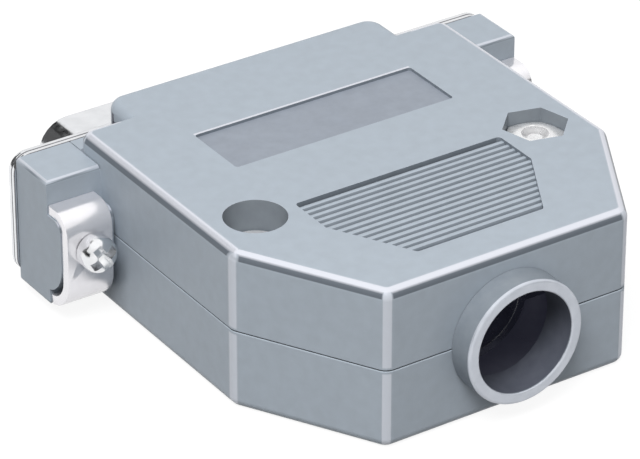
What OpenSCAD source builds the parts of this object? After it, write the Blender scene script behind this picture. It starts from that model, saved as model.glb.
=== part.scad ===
// Solder-cup plug connector in a two-part hood with a straight cable outlet.
// Millimetres. The origin is the middle of the flange's mating face, on the hood's parting plane.
// X runs along the contact rows, Y points to the mating side, Z is up.

/* [Contacts] */
// Contacts in the wide row, the narrow row has one less
wide_row = 13; // [11:1:19]
// Distance between neighbouring contacts of a row
contact_pitch = 2.77; // [2.7:0.01:2.9]
// Distance between the two rows
row_gap = 2.84; // [2.7:0.01:3]
// Diameter of a mating pin
pin_d = 1.02; // [0.9:0.01:1.1]
// How far a pin's tip stays behind the rim of the shroud
pin_setback = 0.6; // [0.2:0.1:2]
// Radius of the rounded edge of a pin's tip
pin_tip_r = 0.4; // [0.2:0.05:0.4]
// Diameter of the shoulder that locks a contact in the insulator
shoulder_d = 2.3; // [2.2:0.05:2.4]
// Length of the shoulder
shoulder_len = 0.9; // [0.5:0.1:1.2]
// Outside diameter of a solder cup
cup_d = 1.9; // [1.6:0.05:2.1]
// Diameter of the hole in a solder cup
cup_hole_d = 1.3; // [0.9:0.05:1.5]
// Length of a solder cup behind the insulator
cup_len = 4.2; // [3.5:0.1:5]
// Depth of the hole in a solder cup
cup_depth = 3.4; // [2.5:0.1:4.5]
// Length of the side opening of a solder cup
cup_scoop = 2.4; // [1.5:0.1:3]

/* [Connector shell] */
// Distance from the wide row's end contact to the inside of the shroud
shell_margin = 2.86; // [2.6:0.01:3.2]
// Inside height of the shroud
shell_h = 8.36; // [8:0.01:8.8]
// Inside corner radius of the shroud
shell_corner_r = 2.6; // [2:0.1:3]
// Lean of the shroud's ends, in degrees
shell_lean = 10; // [6:1:12]
// Thickness of the shell sheets
sheet = 0.5; // [0.4:0.05:0.6]
// How far the shroud stands out of the flange
shroud_reach = 5.9; // [5:0.1:7]
// Radius of the drawn bend where the shroud leaves the flange
bend_r = 0.35; // [0.2:0.05:0.4]
// Height of the flange
flange_h = 12.55; // [12:0.05:13.5]
// Corner radius of the flange
flange_corner_r = 1.8; // [0.5:0.1:3]
// Distance from the inside of the shroud to a locking screw's axis
hole_offset = 4.04; // [3.8:0.01:4.6]
// Distance from a locking screw's axis to the end of the flange
flange_end = 3; // [2.8:0.1:4]
// Radial room of a locking screw's thread in the flange
flange_hole_room = 0.105; // [0.05:0.005:0.2]
// Wall of the eyelets that rivet the two sheets together
eyelet_wall = 0.35; // [0.25:0.05:0.4]
// How far an eyelet's flared rim stands out
eyelet_rim = 0.45; // [0.2:0.05:0.6]
// Thickness of an eyelet's flared rim
eyelet_rim_t = 0.25; // [0.15:0.05:0.4]

/* [Insulators] */
// How far the front insulator stands out of the flange
insulator_face = 0.45; // [0:0.05:1.5]
// How far the insulators' step stands out past the inside of the shroud
insulator_step = 0.45; // [0.3:0.05:0.6]
// Distance from the flange's face to the joint of the insulators
insulator_joint = 2.2; // [1.6:0.1:2.6]
// Length of the rear insulator inside the collar of the rear sheet
rear_insulator_len = 2.4; // [2:0.1:3]
// How far the rear insulator's neck stands out of the collar
rear_neck_len = 0.6; // [0.3:0.1:1]
// How far the rim of the collar turns in behind the insulator
collar_rim = 0.6; // [0.3:0.05:0.8]

/* [Hood] */
// Half of the hood's height
hood_half_h = 8.1; // [7.6:0.02:9]
// How far the hood's sides stand out past the inside of the shroud
side_overhang = 1.02; // [0.6:0.02:1.2]
// Distance from the flange's face to the cable end of the hood
hood_len = 42.2; // [39:0.1:60]
// Length of the tapered cable end
taper_len = 13.3; // [11:0.1:16]
// Half of the hood's width at its cable end
cable_end_half_w = 13; // [11:0.1:15]
// Thickness of the hood's sides
wall = 1.6; // [1.2:0.1:2]
// Thickness of the hood's top and bottom
roof = 1.7; // [1.4:0.1:2]
// Thickness of the wall at the cable end
end_wall = 1.7; // [1.5:0.1:2.4]
// Radius of the long edges of the hood
edge_r = 1; // [0.5:0.1:1.2]
// Bevel of the two halves along the parting line
parting_bevel = 0.12; // [0.05:0.01:0.3]
// Radius of the upright corners of the hood
corner_r = 1.3; // [1.2:0.1:2]
// Distance from the flange's face to the hood's set-back corners
corner_setback = 2.5; // [2:0.1:3.5]
// How far in from the hood's sides the lip begins
lip_inset = 5.3; // [4:0.1:7]
// Radius of the upright corners of the lip
lip_corner_r = 1.8; // [1.2:0.1:2.5]
// How far the lip stands out past the flange's face
lip_reach = 1.7; // [1:0.1:2]
// How far the lip covers the edge of the flange
lip_cover = 0.87; // [0.5:0.05:1.1]

/* [Label and grip] */
// How far in from the hood's sides the label recess begins
label_inset = 8.48; // [6.2:0.1:11]
// Distance from the flange's face to the label recess
label_from = 9.23; // [6:0.1:12]
// Length of the label recess
label_len = 7.2; // [4:0.1:8]
// Depth of the label recess
label_depth = 0.3; // [0.1:0.05:0.5]
// Corner radius of the label recess
label_corner_r = 0.3; // [0.2:0.1:1.5]
// How far in from the hood's sides the grip begins
grip_inset = 9.27; // [9:0.1:11]
// How far in from the corners of the cable end the narrow end of the grip begins
grip_end_inset = 6.18; // [5:0.1:8]
// How far behind the shoulder of the hood the grip begins
grip_back = 4.04; // [2:0.1:6]
// Length of the grip's straight part
grip_straight = 5; // [3:0.1:7]
// Length of the grip's tapered part
grip_taper = 7.95; // [6:0.1:9]
// Depth of the grip's recess
grip_depth = 0.65; // [0.4:0.05:0.8]
// Corner radius of the grip's recess
grip_corner_r = 0.4; // [0.2:0.1:1.5]
// Distance from the wide end of the grip to its first rib
rib_start = 0.54; // [0.5:0.02:1]
// Distance between the grip's ribs
rib_pitch = 0.8625; // [0.8:0.0125:1.2]
// Height of the ribs
rib_h = 0.4; // [0.2:0.05:0.4]
// Radius of the half-round ribs
rib_r = 0.44; // [0.41:0.01:0.46]

/* [Wings] */
// Distance from the flange's face to the front of a wing's block
wing_depth = 6.5; // [6.2:0.1:9]
// Distance from the end of the flange to the wing's outer face
wing_inset = 0.25; // [0:0.05:0.4]
// How far the wing hangs below the flange
wing_drop = 0.5; // [0:0.05:0.6]
// Length of the nose in front of the block
nose_len = 2.3; // [2:0.1:3]
// Gap between the nose's underside and the clip
nose_gap = 0.3; // [0.1:0.05:0.8]
// Radius of the wing's outer edges
wing_edge_r = 0.4; // [0.1:0.05:0.6]
// Radial room of a locking screw in the wing
wing_hole_room = 0.18; // [0.1:0.02:0.3]

/* [Clips] */
// Thickness of the clip's sheet
clip_t = 0.95; // [0.5:0.05:1]
// Distance from the hood's side to the clip
clip_inset = 0.8; // [0.2:0.05:0.9]
// How far the clip's upper arm lies below the wing's top
clip_drop = 2.4; // [2:0.1:3]
// How far the clip's lower arm lies above the wing's underside
clip_rise = 0.25; // [0:0.05:0.3]
// Outside radius of the clip's upper bend
clip_upper_r = 2; // [1.5:0.05:2.4]
// Outside radius of the clip's lower bend
clip_lower_r = 3.4; // [1.5:0.1:3.4]
// Width of the tongues inside the wing
tongue_w = 4.2; // [3:0.1:5]
// Length of the tongues inside the wing
tongue_len = 3.4; // [2:0.1:4.5]
// How much a tongue is coined down on each face of the sheet
tongue_step = 0.12; // [0.06:0.02:0.2]

/* [Locking screws] */
// Outside diameter of the thread
lock_thread_d = 2.84; // [2.6:0.02:3]
// How far the screws stand out past the flange's face
lock_reach = 2.4; // [2:0.1:7]
// Length of the thread
lock_thread_len = 2.4; // [2:0.1:7]
// Diameter of the plain neck
lock_neck_d = 2.1; // [1.8:0.05:2.2]
// Diameter of the head
lock_head_d = 3.5; // [3.4:0.1:5]
// Height of the head
lock_head_h = 2.2; // [1.2:0.1:2.4]

/* [Hood screws] */
// Distance from the hood's side to the axis of a hood screw
hood_screw_inset = 5.13; // [4.6:0.1:6]
// How far behind the shoulder of the hood the screws sit
hood_screw_back = 4.11; // [3.5:0.1:6]
// Diameter of the thread
hood_screw_d = 2.5; // [2.2:0.1:3]
// Diameter of the head
hood_head_d = 5.6; // [5:0.1:5.8]
// Height of the head
hood_head_h = 2; // [1.5:0.1:2.4]
// How deep the head lies below the hood's surface
hood_head_recess = 3; // [2.5:0.1:3.5]
// Size of the nut across its flats
nut_flats = 5.5; // [5:0.1:5.6]
// Height of the nut
nut_h = 2.4; // [2:0.1:2.6]
// How far the round end faces of the nut stay inside its flats
nut_face_inset = 1.15; // [0.05:0.05:1.2]
// Slope of the bevel round the nut's end faces, in degrees
nut_bevel = 20; // [15:1:30]
// How deep the nut lies below the hood's surface
nut_recess = 0.9; // [0.8:0.1:2]
// How far the screw's end stays inside the nut
nut_end_gap = 0.5; // [0.1:0.1:0.8]
// Turn of the nut pocket, in degrees
nut_turn = 45; // [0:1:60]
// Wall of the bosses round the heads
boss_wall = 1; // [0.8:0.1:1.2]

/* [Cable outlet] */
// Diameter of the opening for the cable
outlet_d = 10.08; // [8:0.1:10.6]
// Wall of the bushing
bushing_wall = 1.11; // [0.9:0.05:1.3]
// How far the bushing stands out of the hood
bushing_reach = 2.74; // [1.5:0.1:5]
// Thickness of the hood's web that the bushing's neck sits in
outlet_web = 0.6; // [0.4:0.05:0.8]
// Wall of the bushing's neck
neck_wall = 0.65; // [0.5:0.05:0.8]
// How far the bushing's inner flange stands out of its neck
bushing_flange = 0.5; // [0.35:0.05:0.6]
// Thickness of the bushing's inner flange
bushing_flange_t = 0.45; // [0.3:0.05:0.6]
// Radius of the bushing's outer rim
bushing_outer_r = 0.3; // [0.1:0.05:0.4]
// Radius of the bushing's inner rim
bushing_inner_r = 0.2; // [0.1:0.05:0.4]

/* [Cable clamp] */
// Radial squeeze of the clamp on the cable
clamp_squeeze = 0.3; // [0.1:0.05:0.6]
// Thickness of the clamp's strip
clamp_t = 0.9; // [0.6:0.1:1]
// Width of the clamp's strip
clamp_w = 5; // [4:0.1:5.6]
// Gap between the ears of the two strips
clamp_gap = 0.8; // [0.4:0.1:1.6]
// Distance from the cable end to the middle of the clamp
clamp_from_end = 7.4; // [7:0.1:8]
// Distance from the arch to a clamp screw's axis
clamp_screw_off = 3.1; // [2.8:0.1:3.6]
// Distance from a clamp screw's axis to the end of the strip
clamp_ear_end = 2.6; // [2.4:0.1:3]
// Diameter of a clamp screw
clamp_screw_d = 2.5; // [2:0.1:2.8]
// Length of a clamp screw below its head
clamp_screw_len = 6; // [4.5:0.1:6.4]
// Diameter of a clamp screw's head
clamp_head_d = 4.4; // [4:0.1:5]
// Height of a clamp screw's head
clamp_head_h = 1.7; // [1.2:0.1:2.2]
// Wall of the posts that carry the clamp
post_wall = 1.2; // [0.9:0.1:1.3]
// Spare depth of a post's hole below the tip of its screw
post_hole_spare = 0.5; // [0.2:0.1:0.8]

/* [Clearances] */
// Room between seated faces
seat_room = 0.05; // [0.02:0.01:0.1]
// Radial room of the contacts in the insulators
contact_room = 0.03; // [0.02:0.01:0.05]
// Room round the collar of the rear sheet in the hood
mouth_room = 0.2; // [0.1:0.05:0.3]
// Gap between the wings and the lower half of the hood
side_room = 0.1; // [0.05:0.05:0.2]
// Room of heads and nuts in their pockets
pocket_room = 0.15; // [0.15:0.05:0.4]
// Radial room of a screw in a plain hole
screw_room = 0.2; // [0.1:0.05:0.3]
// Radial room of a screw in its thread
thread_room = 0.02; // [0.01:0.01:0.05]

/* [Hidden] */
$fn = 64;
// Segments of a rounded corner, of the posts of a hull, of the contacts, and rings of a drawn bend
arc_steps = 7;
post_fn = 32;
contact_fn = 24;
bend_steps = 3;
bend_slice_t = 0.02;
// Extra length of a cut past a face, and of a joined piece into its carrier
over = 1;
bite = 0.4;
// Rounding and cross recess of a screw's head, as shares of its height and of its diameter
head_round = 0.3;
cross_floor = 0.4;
cross_width = 0.2;
cross_span = 0.68;
// Bevel of a screw's tip, as a share of its diameter
tip_bevel = 1 / 6;

contact_count = 2 * wide_row - 1;
shell_half = (wide_row - 1) * contact_pitch / 2 + shell_margin;
screw_x = shell_half + hole_offset;
flange_half = screw_x + flange_end;
flange_top = flange_h / 2;
flange_hole_r = lock_thread_d / 2 + flange_hole_room;
flange_back = 2 * sheet + seat_room;
eyelet_r = flange_hole_r + eyelet_wall;
eyelet_back = 2 * sheet + seat_room + eyelet_rim_t;

// How far the D outline grows for each layer, from the inside of the shroud outwards
collar_grow = insulator_step + seat_room;
collar_outer_grow = collar_grow + sheet;
collar_end = insulator_joint + rear_insulator_len + sheet + seat_room;
rear_insulator_end = collar_end + rear_neck_len;
cup_end = rear_insulator_end + cup_len;
pin_tip = shroud_reach - pin_setback;

hood_half_w = shell_half + side_overhang;
shoulder_y = hood_len - taper_len;
lip_half = hood_half_w - lip_inset;
mouth_half_w = shell_half + collar_outer_grow + mouth_room;
mouth_half_h = shell_h / 2 + collar_outer_grow + mouth_room;
mouth_end = rear_insulator_end + mouth_room;

wing_x = hood_half_w + side_room;
wing_out = flange_half - wing_inset;
wing_bottom = -flange_top - wing_drop;
nose_front = wing_depth + nose_len;
clip_top = flange_top - clip_drop;
clip_bottom = wing_bottom + clip_rise;
web_in = nose_front + seat_room;
web_out = web_in + clip_t;
nose_top = clip_top - clip_t - seat_room;
nose_bottom = clip_bottom + clip_t + nose_gap;
wing_hole_r = lock_thread_d / 2 + wing_hole_room;
clip_hole_r = (lock_thread_d + lock_neck_d) / 4;
clip_from = hood_half_w + clip_inset;
clip_to = wing_out - side_room;
tongue_mid = (clip_from + clip_to) / 2;
tongue_t = clip_t - 2 * tongue_step;
tongue_end = wing_depth - tongue_len;

hood_screw_x = hood_half_w - hood_screw_inset;
hood_screw_y = -(shoulder_y - hood_screw_back);
head_bore_r = hood_head_d / 2 + pocket_room;
boss_r = head_bore_r + boss_wall;
hood_head_seat = hood_half_h - hood_head_recess - hood_head_h;
nut_out = hood_half_h - nut_recess;
nut_in = nut_out - nut_h;
nut_r = nut_flats / 2 / cos(30);
nut_pocket_r = (nut_flats + pocket_room) / 2 / cos(30);

outlet_r = outlet_d / 2;
bushing_r = outlet_r + bushing_wall;
neck_r = outlet_r + neck_wall;
bushing_flange_r = neck_r + bushing_flange;
cavity_end = hood_len - end_wall;

clamp_y = -(hood_len - clamp_from_end);
arch_r = outlet_r - clamp_squeeze;
arch_out_r = arch_r + clamp_t;
clamp_screw_x = arch_out_r + clamp_screw_off;
ear_in = clamp_gap / 2;
ear_out = ear_in + clamp_t;
post_r = clamp_screw_d / 2 + screw_room + post_wall;

function contact_name(i) = str("contact_", i < 10 ? "0" : "", i);

// Outlines of points

function unit(v) = v / norm(v);
function wrap(turn) = turn > 180 ? turn - 360 : turn < -180 ? turn + 360 : turn;

// Arc of radius r that replaces the corner b between a and c
function corner_arc(a, b, c, r) =
    let (u = unit(a - b),
         v = unit(c - b),
         half = acos(u * v) / 2,
         centre = b + unit(u + v) * r / sin(half),
         first = b + u * r / tan(half) - centre,
         last = b + v * r / tan(half) - centre,
         start = atan2(first.y, first.x),
         turn = wrap(atan2(last.y, last.x) - start))
    r == 0 ? [b] :
    [for (k = [0 : arc_steps])
        let (angle = start + turn * k / arc_steps)
        centre + r * [cos(angle), sin(angle)]];

// Outline with its corners rounded, by one radius or by one for each corner
function rounded(points, radii) =
    let (n = len(points))
    [for (i = [0 : n - 1])
        each corner_arc(points[(i + n - 1) % n], points[i], points[(i + 1) % n],
                        is_list(radii) ? radii[i] : radii)];

// Counter-clockwise outline moved in by d on every side
function inset(points, d) =
    let (n = len(points))
    [for (i = [0 : n - 1])
        let (u = unit(points[i] - points[(i + n - 1) % n]),
             v = unit(points[(i + 1) % n] - points[i]),
             normal_u = [-u.y, u.x],
             normal_v = [-v.y, v.x])
        points[i] + d * (normal_u + normal_v) / (1 + normal_u * normal_v)];

function box_outline(half_x, half_y) =
    [[half_x, -half_y], [half_x, half_y], [-half_x, half_y], [-half_x, -half_y]];

// D outline of the shroud's inside, grown on every side, wide side up
d_top = shell_half + shell_corner_r * (1 / cos(shell_lean) - 1 + tan(shell_lean));
d_bottom = d_top - shell_h * tan(shell_lean);
d_corners = [
    [d_bottom, -shell_h / 2], [d_top, shell_h / 2], [-d_top, shell_h / 2], [-d_bottom, -shell_h / 2]];
function d_outline(grow) = rounded(inset(d_corners, -grow), shell_corner_r + grow);

body_outline = [
    [cable_end_half_w, -hood_len], [hood_half_w, -shoulder_y], [hood_half_w, -corner_setback],
    [-hood_half_w, -corner_setback], [-hood_half_w, -shoulder_y], [-cable_end_half_w, -hood_len]];
lip_outline = [
    [lip_half, -wing_depth], [lip_half, lip_reach], [-lip_half, lip_reach], [-lip_half, -wing_depth]];
label_half = hood_half_w - label_inset;
grip_half = hood_half_w - grip_inset;
grip_front_half = cable_end_half_w - grip_end_inset;
grip_from = shoulder_y - grip_back;
grip_to = grip_from + grip_straight + grip_taper;
grip_outline = [
    [grip_front_half, -grip_to], [grip_half, -grip_from - grip_straight], [grip_half, -grip_from],
    [-grip_half, -grip_from], [-grip_half, -grip_from - grip_straight], [-grip_front_half, -grip_to]];

// Contacts 1 to wide_row stand in the wide upper row, the rest in the lower row
function in_wide_row(i) = i <= wide_row;
function contact_x(i) =
    in_wide_row(i) ? (i - (wide_row + 1) / 2) * contact_pitch
                   : (i - wide_row - wide_row / 2) * contact_pitch;
function contact_z(i) = in_wide_row(i) ? row_gap / 2 : -row_gap / 2;

// Placing

// Turns a shape built up +Z so that it points to +Y
module along_y(x = 0, z = 0) {
    translate([x, 0, z]) rotate([-90, 0, 0]) children();
}

// Extrudes an XZ outline from one Y to another
module extrude_y(from, to) {
    translate([0, to, 0]) rotate([90, 0, 0]) linear_extrude(to - from) children();
}

// Extrudes a YZ outline from one X to another
module extrude_x(from, to) {
    translate([from, 0, 0]) rotate([90, 0, 90]) linear_extrude(to - from) children();
}

module sided(side) {
    if (side < 0) mirror([1, 0, 0]) children();
    else children();
}

// Fasteners

// Rounded pan head with a cross recess, seat at z = 0
module cross_head(d, h) {
    slot = [d * cross_span, d * cross_width, h];
    difference() {
        rotate_extrude()
            polygon(rounded([[0, 0], [d / 2, 0], [d / 2, h], [0, h]], [0, 0, h * head_round, 0]));
        for (turn = [0, 90])
            rotate(turn) translate([-slot.x / 2, -slot.y / 2, h * cross_floor]) cube(slot);
    }
}

// Screw with its head's seat at z = 0 and its shank pointing down
module pan_screw(d, length, head_d, head_h) {
    tip = d * tip_bevel;
    union() {
        cross_head(head_d, head_h);
        rotate_extrude()
            polygon([[0, bite], [d / 2, bite], [d / 2, tip - length],
                     [d / 2 - tip, -length], [0, -length]]);
    }
}

module hex_nut() {
    face_r = nut_flats / 2 - nut_face_inset;
    rim_r = nut_r + bite;
    rim_drop = (rim_r - face_r) * tan(nut_bevel);
    difference() {
        intersection() {
            rotate(nut_turn) cylinder(r = nut_r, h = nut_h, $fn = 6);
            rotate_extrude()
                polygon([[0, 0], [face_r, 0], [rim_r, rim_drop], [rim_r, nut_h - rim_drop],
                         [face_r, nut_h], [0, nut_h]]);
        }
        translate([0, 0, -over]) cylinder(d = hood_screw_d + 2 * thread_room, h = nut_h + 2 * over);
    }
}

// Hood

// Upright post with a rounded upper edge, for the corners of the hood's outer form
module soft_post(r) {
    rotate_extrude($fn = post_fn)
        polygon(rounded([[0, 0], [r - parting_bevel, 0], [r, parting_bevel],
                         [r, hood_half_h], [0, hood_half_h]],
                        [0, 0, 0, edge_r, 0]));
}

module soft_prism(outline, r) {
    hull() {
        for (p = inset(outline, r)) translate([p.x, p.y, 0]) soft_post(r);
    }
}

// Outer form of one half: tapered body, lip over the flange, and the backing behind the flange
module hood_form() {
    soft_prism(body_outline, corner_r);
    soft_prism(lip_outline, lip_corner_r);
    translate([-hood_half_w, -corner_setback - bite, 0])
        cube([2 * hood_half_w, corner_setback + bite - flange_back, flange_top]);
}

// Space for the wires, inside the walls of one half
module cavity_cut() {
    translate([0, 0, -over]) linear_extrude(hood_half_h - roof + over) intersection() {
        polygon(inset(body_outline, wall));
        translate([-hood_half_w, -cavity_end]) square([2 * hood_half_w, cavity_end - mouth_end + bite]);
    }
}

// Mouth that takes the connector's collar, and the groove that takes its flange
module mouth_cut() {
    extrude_y(-mouth_end, lip_reach + over)
        polygon(rounded(box_outline(mouth_half_w, mouth_half_h), shell_corner_r));
    extrude_y(-flange_back, seat_room)
        polygon(box_outline(flange_half + over, flange_top + seat_room));
    extrude_y(-flange_back, lip_reach + over)
        polygon(box_outline(flange_half + over, flange_top - lip_cover));
}

module label_cut() {
    translate([0, -label_from - label_len / 2, hood_half_h - label_depth])
        linear_extrude(label_depth + over)
            polygon(rounded(box_outline(label_half, label_len / 2), label_corner_r));
}

// Sunk field with cross ribs for the fingers
module grip_cut() {
    floor_z = hood_half_h - grip_depth;
    last_rib = floor((grip_to - grip_from - rib_start - rib_r) / rib_pitch);
    difference() {
        translate([0, 0, floor_z])
            linear_extrude(grip_depth + over) polygon(rounded(grip_outline, grip_corner_r));
        for (k = [0 : last_rib])
            translate([0, -grip_from - rib_start - k * rib_pitch, floor_z + rib_h - rib_r])
                rotate([0, 90, 0]) cylinder(r = rib_r, h = 2 * grip_half + over, center = true);
    }
}

// Seat of the bushing: a round hole for its neck, widened inside for its flange
module outlet_cut() {
    along_y() {
        translate([0, 0, -hood_len - over])
            cylinder(r = neck_r + seat_room, h = end_wall + 2 * over);
        translate([0, 0, -hood_len + outlet_web])
            cylinder(r = bushing_flange_r + seat_room, h = end_wall - outlet_web + over);
    }
}

// One half of the hood, parting plane at z = 0, head pocket on the left and nut pocket on the right
module hood_half(with_wings) {
    difference() {
        union() {
            difference() {
                union() {
                    hood_form();
                    if (with_wings) for (side = [-1, 1]) sided(side) wing();
                }
                cavity_cut();
                mouth_cut();
            }
            for (side = [-1, 1])
                translate([side * hood_screw_x, hood_screw_y, 0])
                    cylinder(r = boss_r, h = hood_half_h - roof + bite);
        }
        for (side = [-1, 1])
            translate([side * hood_screw_x, hood_screw_y, -over])
                cylinder(d = hood_screw_d + 2 * screw_room, h = hood_half_h + 2 * over);
        translate([-hood_screw_x, hood_screw_y, hood_head_seat]) cylinder(r = head_bore_r, h = hood_half_h);
        translate([hood_screw_x, hood_screw_y, nut_in])
            rotate(nut_turn) cylinder(r = nut_pocket_r, h = hood_half_h, $fn = 6);
        outlet_cut();
        label_cut();
        grip_cut();
    }
}

// Block of a wing, rounded on its front and outer edges
module wing_block() {
    intersection() {
        extrude_x(wing_x, wing_out)
            polygon(rounded([[-flange_back, wing_bottom], [-flange_back, flange_top],
                             [-wing_depth, flange_top], [-wing_depth, wing_bottom]],
                            [0, 0, wing_edge_r, wing_edge_r]));
        extrude_y(-wing_depth - over, 0)
            polygon(rounded([[wing_x - over, wing_bottom], [wing_out, wing_bottom],
                             [wing_out, flange_top], [wing_x - over, flange_top]],
                            [0, wing_edge_r, wing_edge_r, 0]));
    }
}

// Wing behind the right end of the flange, with the nose that carries the clip
module wing() {
    web_len = wing_x - hood_half_w + wall + bite;
    difference() {
        union() {
            wing_block();
            extrude_x(wing_x, wing_out)
                polygon(rounded([[-flange_back - bite, nose_bottom], [-flange_back - bite, nose_top],
                                 [-nose_front, nose_top], [-nose_front, nose_bottom]],
                                [0, 0, clip_upper_r - clip_t, clip_lower_r]));
            translate([hood_half_w - wall, -wing_depth, 0])
                cube([web_len, wing_depth - flange_back, flange_top - wing_edge_r]);
            translate([hood_half_w - wall, -wing_depth - nose_len / 2, 0])
                cube([web_len, wing_depth / 2, nose_top - wing_edge_r]);
        }
        along_y(screw_x) {
            translate([0, 0, -nose_front - over]) cylinder(r = wing_hole_r, h = nose_front + over);
            translate([0, 0, -eyelet_back - seat_room])
                cylinder(r = eyelet_r + eyelet_rim + seat_room, h = eyelet_back);
        }
        for (z = [clip_top - clip_t, clip_bottom])
            translate([tongue_mid - tongue_w / 2 - seat_room, -wing_depth - over, z + tongue_step - seat_room])
                cube([tongue_w + 2 * seat_room, over + tongue_len + seat_room, tongue_t + 2 * seat_room]);
        translate([tongue_mid - tongue_w / 2 - seat_room, -wing_depth - over, wing_bottom - over])
            cube([tongue_w + 2 * seat_room, over + tongue_len + seat_room, clip_rise + tongue_step + over]);
    }
}

module upper_hood() {
    color("#b4bec8") hood_half(true);
}

module lower_hood() {
    floor_z = -hood_half_h + roof;
    color("#aab4be") difference() {
        union() {
            rotate([0, 180, 0]) hood_half(false);
            for (side = [-1, 1])
                translate([side * clamp_screw_x, clamp_y, floor_z - bite])
                    cylinder(r = post_r, h = -ear_out - floor_z + bite);
        }
        for (side = [-1, 1])
            translate([side * clamp_screw_x, clamp_y, ear_out - clamp_screw_len - post_hole_spare])
                cylinder(d = clamp_screw_d + 2 * screw_room, h = clamp_screw_len);
    }
}

// Ring of the outlet: the two halves of the hood close round its neck
module cable_bushing() {
    out_y = -hood_len - bushing_reach;
    collar_back = -hood_len - seat_room;
    flange_out = -hood_len + outlet_web + seat_room;
    flange_in = flange_out + bushing_flange_t;
    color("#c0c8d2") along_y() rotate_extrude()
        polygon(rounded([[outlet_r, out_y], [bushing_r, out_y], [bushing_r, collar_back],
                         [neck_r, collar_back], [neck_r, flange_out], [bushing_flange_r, flange_out],
                         [bushing_flange_r, flange_in], [outlet_r, flange_in]],
                        [bushing_inner_r, bushing_outer_r, 0, 0, 0, 0, 0, 0]));
}

// Bent clip of the right wing
module clip() {
    difference() {
        union() {
            extrude_x(clip_from, clip_to) intersection() {
                polygon(rounded([[-tongue_end, clip_top], [-web_out, clip_top], [-web_out, clip_bottom],
                                 [-tongue_end, clip_bottom], [-tongue_end, clip_bottom + clip_t],
                                 [-web_in, clip_bottom + clip_t], [-web_in, clip_top - clip_t],
                                 [-tongue_end, clip_top - clip_t]],
                                [0, clip_upper_r, clip_lower_r, 0, 0, clip_lower_r - clip_t,
                                 clip_upper_r - clip_t, 0]));
                translate([-web_out - over, -flange_h])
                    square([web_out + over - wing_depth - seat_room, 2 * flange_h]);
            }
            for (z = [clip_top - clip_t, clip_bottom])
                translate([tongue_mid - tongue_w / 2, -wing_depth - bite, z + tongue_step])
                    cube([tongue_w, bite + tongue_len, tongue_t]);
        }
        along_y(screw_x) translate([0, 0, -web_out - over])
            cylinder(r = clip_hole_r, h = clip_t + 2 * over);
    }
}

module left_clip() {
    color("#e3e5e8") sided(-1) clip();
}

module right_clip() {
    color("#e3e5e8") sided(1) clip();
}

// Locking screw with its thread in front of a plain neck, so that the clip holds it
module locking_screw() {
    tip = lock_thread_d * tip_bevel;
    thread_r = lock_thread_d / 2;
    neck_r = lock_neck_d / 2;
    thread_back = lock_reach - lock_thread_len;
    head_y = -web_out - seat_room;
    along_y() union() {
        translate([0, 0, head_y]) rotate([180, 0, 0]) rotate(30) cross_head(lock_head_d, lock_head_h);
        rotate_extrude()
            polygon([[0, head_y - bite], [neck_r, head_y - bite], [neck_r, thread_back - thread_r + neck_r],
                     [thread_r, thread_back], [thread_r, lock_reach - tip], [thread_r - tip, lock_reach],
                     [0, lock_reach]]);
    }
}

module left_locking_screw() {
    color("#d8dadd") translate([-screw_x, 0, 0]) locking_screw();
}

module right_locking_screw() {
    color("#d8dadd") translate([screw_x, 0, 0]) locking_screw();
}

// Screw from above on the left, its nut is in the lower half
module hood_screw() {
    translate([-hood_screw_x, hood_screw_y, hood_head_seat])
        pan_screw(hood_screw_d, hood_head_seat + nut_out - nut_end_gap, hood_head_d, hood_head_h);
}

module hood_nut() {
    translate([hood_screw_x, hood_screw_y, nut_in]) hex_nut();
}

module hood_screw_left() {
    color("#d8dadd") hood_screw();
}

module hood_screw_right() {
    color("#d8dadd") rotate([0, 180, 0]) hood_screw();
}

module hood_nut_right() {
    color("#d8dadd") hood_nut();
}

module hood_nut_left() {
    color("#d8dadd") rotate([0, 180, 0]) hood_nut();
}

// Connector

module flange_outline() {
    polygon(rounded(box_outline(flange_half, flange_top), flange_corner_r));
}

// Ring k of the hollow of the drawn bend, a thin slice of the D outline
module bend_slice(k) {
    angle = 90 * k / bend_steps;
    y = bend_r * (1 - cos(angle));
    extrude_y(y - bend_slice_t, y) polygon(d_outline(sheet + bend_r * (1 - sin(angle))));
}

module drawn_bend() {
    for (k = [0 : bend_steps - 1]) hull() {
        bend_slice(k);
        bend_slice(k + 1);
    }
}

module front_shell() {
    color("#dcdee2") difference() {
        union() {
            extrude_y(-sheet, 0) flange_outline();
            extrude_y(-sheet, shroud_reach) polygon(d_outline(sheet));
            drawn_bend();
            for (side = [-1, 1]) along_y(side * screw_x) {
                translate([0, 0, -eyelet_back]) cylinder(r = eyelet_r, h = eyelet_back - sheet / 2);
                translate([0, 0, -eyelet_back]) cylinder(r = eyelet_r + eyelet_rim, h = eyelet_rim_t);
            }
        }
        extrude_y(-sheet - over, shroud_reach + over) polygon(d_outline(0));
        for (side = [-1, 1])
            along_y(side * screw_x) translate([0, 0, -eyelet_back - over])
                cylinder(r = flange_hole_r, h = eyelet_back + 2 * over);
    }
}

module rear_shell() {
    color("#d2d5d9") difference() {
        union() {
            extrude_y(-2 * sheet, -sheet) flange_outline();
            extrude_y(-collar_end, -sheet - sheet / 2) polygon(d_outline(collar_outer_grow));
        }
        extrude_y(-collar_end + sheet, -sheet + over) polygon(d_outline(collar_grow));
        extrude_y(-collar_end - over, -sheet + over) polygon(d_outline(collar_grow - collar_rim));
        for (side = [-1, 1])
            along_y(side * screw_x) translate([0, 0, -2 * sheet - over])
                cylinder(r = eyelet_r + seat_room, h = sheet + 2 * over);
    }
}

// Same drilling through every contact place
module contact_holes(d, from, to) {
    for (i = [1 : contact_count])
        along_y(contact_x(i), contact_z(i)) translate([0, 0, from])
            cylinder(d = d, h = to - from, $fn = contact_fn);
}

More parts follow.
